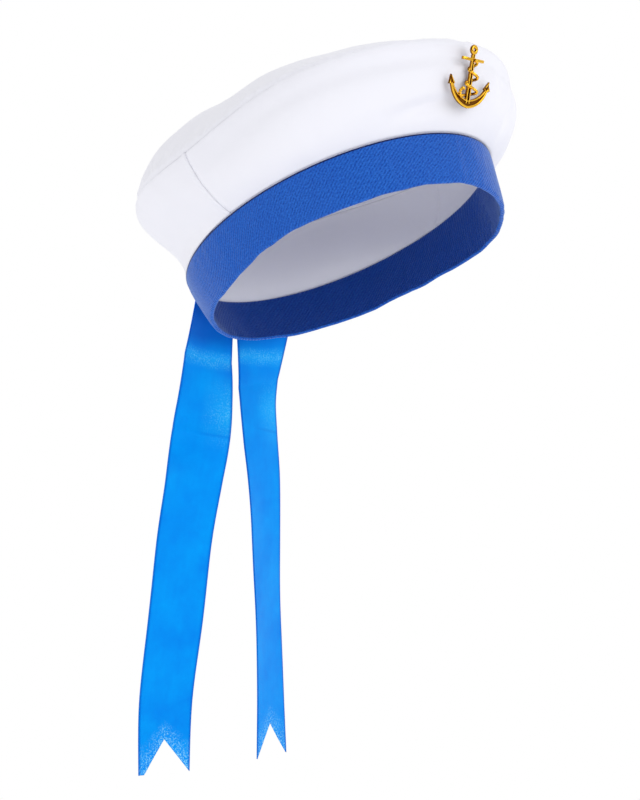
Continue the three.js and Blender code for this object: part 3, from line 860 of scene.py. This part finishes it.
def tube_mesh(path, radius, sides, closed, work):
    """Adds a round tube along a path to a bmesh, turning as little as it can on the way."""
    path = np.asarray(path, float)
    ahead = np.roll(path, -1, axis=0) - np.roll(path, 1, axis=0)
    if not closed:
        ahead[0], ahead[-1] = path[1] - path[0], path[-1] - path[-2]
    ahead = normalized(ahead)
    side = np.cross(ahead[0], (0, 0, 1.0))
    if np.linalg.norm(side) < 1e-6:
        side = np.array([1.0, 0, 0])
    rings = []
    radii = np.broadcast_to(radius, len(path))
    for point, direction, size in zip(path, ahead, radii):
        side = side - direction * np.dot(side, direction)
        side = side / np.linalg.norm(side)
        other = np.cross(direction, side)
        angles = np.linspace(0, 2 * math.pi, sides, endpoint=False)
        ring = [point + size * (math.cos(a) * side + math.sin(a) * other) for a in angles]
        rings.append([work.verts.new(v) for v in ring])
    join_rings(rings + rings[:1] if closed else rings, work)
    if not closed:
        work.faces.new(rings[0][::-1])
        work.faces.new(rings[-1])


def plate_mesh(outline, base, height, edge, work):
    """Adds a flat plate with rounded upper edges to a bmesh. The outline runs anticlockwise."""
    outline = np.asarray(outline, float)
    inward = inward_at_corners(outline)
    rings = []
    for inset, level in ((0, base), (0, height - edge), (edge * 0.3, height - edge * 0.3), (edge, height)):
        shifted = outline + inward * inset
        rings.append([work.verts.new((x, y, level)) for x, y in shifted])
    join_rings(rings, work)
    for ring in (rings[0][::-1], rings[-1]):
        face = work.faces.new(ring)
        bmesh.ops.triangulate(work, faces=[face])


def rope_path():
    """The rope winds down round the shank, wider on the wearer's left, and ends in a curl at the arms."""
    share = np.linspace(0, 1, 260)
    phase = 2 * math.pi * ROPE_TURNS * share
    reach = 3.0 + 2.8 * share
    x = reach * np.sin(phase) + 1.4 * smoothstep(share, 0, 0.3) * (1 - smoothstep(share, 0.85, 1))
    y = ROPE_TOP + (ROPE_BOTTOM - ROPE_TOP) * share
    z = PLATE_THICKNESS / 2 + 0.5 + 1.1 * np.cos(phase)
    wound = np.stack([x, y, z], axis=-1)
    end = wound[-1]
    curl = np.radians(np.linspace(0, 200, 50)[1:])
    tail = np.stack([
        end[0] - 2.4 * np.sin(curl),
        end[1] + 2.6 * (1 - np.cos(curl)),
        end[2] + 0.9 * np.sin(curl / 2),
    ], axis=-1)
    return np.concatenate([wound, tail])


def rope_strands(path, work):
    """Adds two strands that twist round each other along a path to a bmesh."""
    ahead = normalized(np.gradient(path, axis=0))
    length = np.concatenate([[0], np.cumsum(np.linalg.norm(np.diff(path, axis=0), axis=1))])
    side = normalized(np.cross(ahead, (0, 0, 1.0)))
    other = np.cross(ahead, side)
    for start in (0, math.pi):
        twist = 2 * math.pi * length / ROPE_PITCH + start
        round_path = np.cos(twist)[:, None] * side + np.sin(twist)[:, None] * other
        strand = path + STRAND_OFFSET * round_path
        tube_mesh(strand, ROPE_STRAND, 8, False, work)


def ring_path(centre, radius, level, steps=48):
    angles = np.linspace(0, 2 * math.pi, steps, endpoint=False)
    return [(centre[0] + radius * math.cos(a), centre[1] + radius * math.sin(a), level) for a in angles]


def rim_path(outline, inset, level):
    """A path along an outline, and how far each of its points is on a lower edge."""
    outline = np.asarray(outline, float)
    inward = inward_at_corners(outline)
    shifted = outline + inward * inset
    lower_edge = smoothstep(inward[:, 1], 0, 0.6)
    return np.column_stack([shifted, np.full(len(shifted), level)]), lower_edge


def anchor_badge():
    """Plates for the arms, shank and stock, with raised rims, and then the ring, the rope and the post."""
    work = bmesh.new()
    arms = arms_outline()
    plate_mesh(arms, 0, FACE_LEVEL, 0.2, work)
    rim, lower_edge = rim_path(arms, 0.6, FACE_LEVEL + 0.15)
    tube_mesh(rim, 0.5 + 0.35 * lower_edge, 12, True, work)
    low, high = ANCHOR_ARM_DEPTH - 2, STOCK_HEIGHT + 3
    wide, narrow = SHANK_HALF_WIDTH * 1.25, SHANK_HALF_WIDTH * 0.8
    shank = [(-wide, low), (wide, low), (narrow, high), (-narrow, high)]
    plate_mesh(shank, 0, FACE_LEVEL + 0.1, 0.2, work)
    for side in (-1, 1):
        rail_foot = (side * (wide - 0.35), low, FACE_LEVEL + 0.3)
        rail_head = (side * (narrow - 0.3), high, FACE_LEVEL + 0.3)
        tube_mesh([rail_foot, rail_head], 0.5, 10, False, work)
    half = STOCK_LENGTH / 2
    low, high = STOCK_HEIGHT - STOCK_WIDTH / 2, STOCK_HEIGHT + STOCK_WIDTH / 2
    stock = [(-half, low), (half, low), (half, high), (-half, high)]
    plate_mesh(stock, 0.1, PLATE_THICKNESS + 0.4, 0.35, work)
    ring_centre = (0, ANCHOR_HEIGHT - RING_RADIUS - RING_WIRE)
    tube_mesh(ring_path(ring_centre, RING_RADIUS, PLATE_THICKNESS / 2), RING_WIRE, 12, True, work)
    rope_strands(rope_path(), work)
    post = [(0, POST_HEIGHT, 0.5), (0, POST_HEIGHT, 0.8 - POST_LENGTH), (0, POST_HEIGHT, 0.2 - POST_LENGTH)]
    tube_mesh(post, np.array([POST_RADIUS, POST_RADIUS, 0.15]), 20, False, work)
    return metal_piece("anchor_badge_gold", work, badge_matrix(), "anchor_badge", SHADE_BROWN_LEVEL, GOLD_LEVEL)


def metal_piece(name, work, place, node, low, high):
    """Places a casting. Its colour goes from painted brown shade at the low height to bright gold at the high
    one.
    """
    bmesh.ops.recalc_face_normals(work, faces=work.faces)
    mesh = bpy.data.meshes.new(name)
    work.to_mesh(mesh)
    work.free()
    levels = np.array([vertex.co.z for vertex in mesh.vertices])
    raised = mesh.attributes.new("raised", "FLOAT", "POINT")
    raised.data.foreach_set("value", smoothstep(levels, low, high).astype(np.float32))
    mesh.transform(Matrix.Scale(MM, 4) @ place)
    mesh.polygons.foreach_set("use_smooth", np.ones(len(mesh.polygons), dtype=bool))
    mesh.set_sharp_from_angle(angle=math.radians(38))
    mesh.materials.append(GOLD)
    return stand_for(add_object(name, mesh), "gold", node)


def badge_clutch():
    """A round clutch on the post, behind the cloth."""
    low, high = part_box("badge_clutch")
    centre = (Vector(low) + Vector(high)) / 2 / MM
    place = badge_matrix()
    local = place.inverted() @ centre
    thick, wide = CLUTCH_THICKNESS, CLUTCH_RADIUS
    profile = [
        (CLUTCH_BORE, -thick / 2),
        (wide - 0.3, -thick / 2),
        (wide, -thick / 2 + 0.3),
        (wide, -thick / 2 + 0.7),
        (wide - 0.8, 0),
        (wide - 1.0, thick / 2 - 0.4),
        (wide - 1.4, thick / 2),
        (CLUTCH_BORE, thick / 2),
    ]
    work = bmesh.new()
    steps = 48
    rings = []
    for step in range(steps):
        angle = 2 * math.pi * step / steps
        ring = [(r * math.cos(angle), POST_HEIGHT + r * math.sin(angle), local.z - h) for r, h in profile]
        rings.append([work.verts.new(v) for v in ring])
    join_rings(rings + rings[:1], work)
    gold_level = local.z - thick
    return metal_piece("badge_clutch_gold", work, place, "badge_clutch", gold_level - 1, gold_level)


# --- Assembly ------------------------------------------------------------------------------------------

front_end = SIDE_SEAM_ANGLE - PANEL_GAP
back_begin = SIDE_SEAM_ANGLE + PANEL_GAP
wall_panel("crown_front_cloth", -front_end, front_end, "crown_front_panel")
wall_panel("crown_back_cloth", back_begin, 360 - back_begin, "crown_back_panel")
crown_top()
band = headband()
RIGHT_CREASES = ((*PRESS_LINE, 0.8, 5), (*FOLD_LINE, -1.1, 6))
LEFT_CREASES = ((52, -0.1, 0.7, 6),)
ribbons = [
    ribbon("ribbon_right_satin", RIBBON_RIGHT_ROUTE, "ribbon_right", 41, RIGHT_CREASES, blunt=0.22),
    ribbon("ribbon_left_satin", RIBBON_LEFT_ROUTE, "ribbon_left", 42, LEFT_CREASES),
]
anchor_badge()
badge_clutch()

# --- Camera, light and floor ---------------------------------------------------------------------------

CAMERA_AZIMUTH = math.radians(-47)
CAMERA_DISTANCE = 2.2
CAMERA_LENS = 161.5
AIM_LEFT, AIM_DOWN = 0.0213, 0.0843
FLOOR_HEIGHT = -0.9
FLOOR_RADIUS = 3.6
BACKDROP_RADIUS = 14
FLAG_RADIUS, FLAG_HALF_ANGLE = 9, math.radians(62)
# The surroundings brighten from dim to full between two shares of the way towards the bright side.
BRIGHT_SIDE = (0.66, 0.61, 0.46)
DIM_LEVEL, DIM_END, BRIGHT_END = 0.47, -0.5, 0.9
# Each softbox: azimuth and elevation in degrees, distance, width and height in metres, and power in watts.
SOFTBOXES = {
    "key": (4, 20, 2.0, 1.7, 1.6, 17),
    "fill": (-92, 8, 2.0, 1.0, 1.4, 9.5),
}


def direction(azimuth, elevation=0.0):
    """From the cap towards an azimuth from the front, to the wearer's left, and an elevation."""
    return Vector((
        math.sin(azimuth) * math.cos(elevation),
        -math.cos(azimuth) * math.cos(elevation),
        math.sin(elevation),
    ))


def add_camera():
    camera = add_object("camera", bpy.data.cameras.new("camera"))
    camera.data.lens = CAMERA_LENS
    camera.data.sensor_width = 36
    camera.data.clip_end = 50
    camera.location = direction(CAMERA_AZIMUTH) * CAMERA_DISTANCE
    right = Vector((math.cos(CAMERA_AZIMUTH), math.sin(CAMERA_AZIMUTH), 0))
    aim = -right * AIM_LEFT - Vector((0, 0, AIM_DOWN))
    camera.rotation_euler = (aim - camera.location).to_track_quat("-Z", "Y").to_euler()
    bpy.context.scene.camera = camera


def add_softbox(name, azimuth, elevation, distance, width, height, power):
    light = bpy.data.lights.new(name, "AREA")
    light.shape = "RECTANGLE"
    light.size, light.size_y = width, height
    light.energy = power
    lamp = add_object(name, light)
    away = direction(math.radians(azimuth), math.radians(elevation))
    lamp.location = away * distance
    lamp.rotation_euler = (-away).to_track_quat("-Z", "Y").to_euler()


def studio_piece(name, work, unseen_by=(), height=0.0, **shader):
    """Adds a piece of the studio with a plain material, hidden from some kinds of ray."""
    mesh = bpy.data.meshes.new(name)
    work.to_mesh(mesh)
    work.free()
    mesh.materials.append(Nodes(name).finish(**shader))
    piece = add_object(name, mesh)
    piece.location.z = height
    for ray in unseen_by:
        setattr(piece, f"visible_{ray}", False)
    return piece


def sphere(radius):
    """A bmesh of a sphere round the middle of the scene."""
    work = bmesh.new()
    bmesh.ops.create_uvsphere(work, u_segments=48, v_segments=24, radius=radius)
    return work


def add_floor():
    work = bmesh.new()
    bmesh.ops.create_circle(work, cap_ends=True, segments=96, radius=FLOOR_RADIUS)
    floor = studio_piece(
        "floor",
        work,
        height=FLOOR_HEIGHT,
        Base_Color=(0.9, 0.9, 0.9, 1),
        Roughness=0.9,
        Emission_Color=(1, 1, 1, 1),
        Emission_Strength=0.15,
    )


def add_backdrop():
    """A white room that only the camera sees, so that the background is plain from every side."""
    backdrop = studio_piece(
        "backdrop",
        sphere(BACKDROP_RADIUS),
        unseen_by=("diffuse", "glossy", "transmission", "volume_scatter", "shadow"),
        Base_Color=(0, 0, 0, 1),
        Specular_IOR_Level=0.0,
        Emission_Color=(1, 1, 1, 1),
        Emission_Strength=1.0,
    )


def add_dark_flag():
    """A black screen on the camera's side, seen only in reflections, that gives polished metal contrast."""
    work = sphere(FLAG_RADIUS)
    middle, edge = direction(CAMERA_AZIMUTH), math.cos(FLAG_HALF_ANGLE)
    beyond = [vertex for vertex in work.verts if vertex.co.normalized() @ middle < edge]
    bmesh.ops.delete(work, geom=beyond, context="VERTS")
    flag = studio_piece(
        "dark_flag",
        work,
        unseen_by=("camera", "diffuse", "transmission", "volume_scatter", "shadow"),
        Base_Color=(0, 0, 0, 1),
        Specular_IOR_Level=0.0,
    )


def add_world():
    """Studio surroundings: bright behind the cap and overhead, and dim where the camera stands."""
    world = bpy.data.worlds.new("studio")
    world.use_nodes = True
    tree = world.node_tree
    place = tree.nodes.new("ShaderNodeTexCoord").outputs["Generated"]
    toward = tree.nodes.new("ShaderNodeVectorMath")
    toward.operation = "DOT_PRODUCT"
    toward.inputs[1].default_value = BRIGHT_SIDE
    tree.links.new(place, toward.inputs[0])
    level = tree.nodes.new("ShaderNodeMapRange")
    level.interpolation_type = "SMOOTHSTEP"
    limits = {"From Min": DIM_END, "From Max": BRIGHT_END, "To Min": DIM_LEVEL, "To Max": 1.0}
    for name, value in limits.items():
        level.inputs[name].default_value = value
    tree.links.new(toward.outputs["Value"], level.inputs["Value"])
    tree.links.new(level.outputs["Result"], tree.nodes["Background"].inputs["Strength"])
    tree.nodes["Background"].inputs["Color"].default_value = (1, 1, 1, 1)
    bpy.context.scene.world = world


bpy.context.scene.view_settings.view_transform = "Standard"
add_camera()
add_world()
add_backdrop()
add_floor()
for name, settings in SOFTBOXES.items():
    add_softbox(name, *settings)
add_dark_flag()
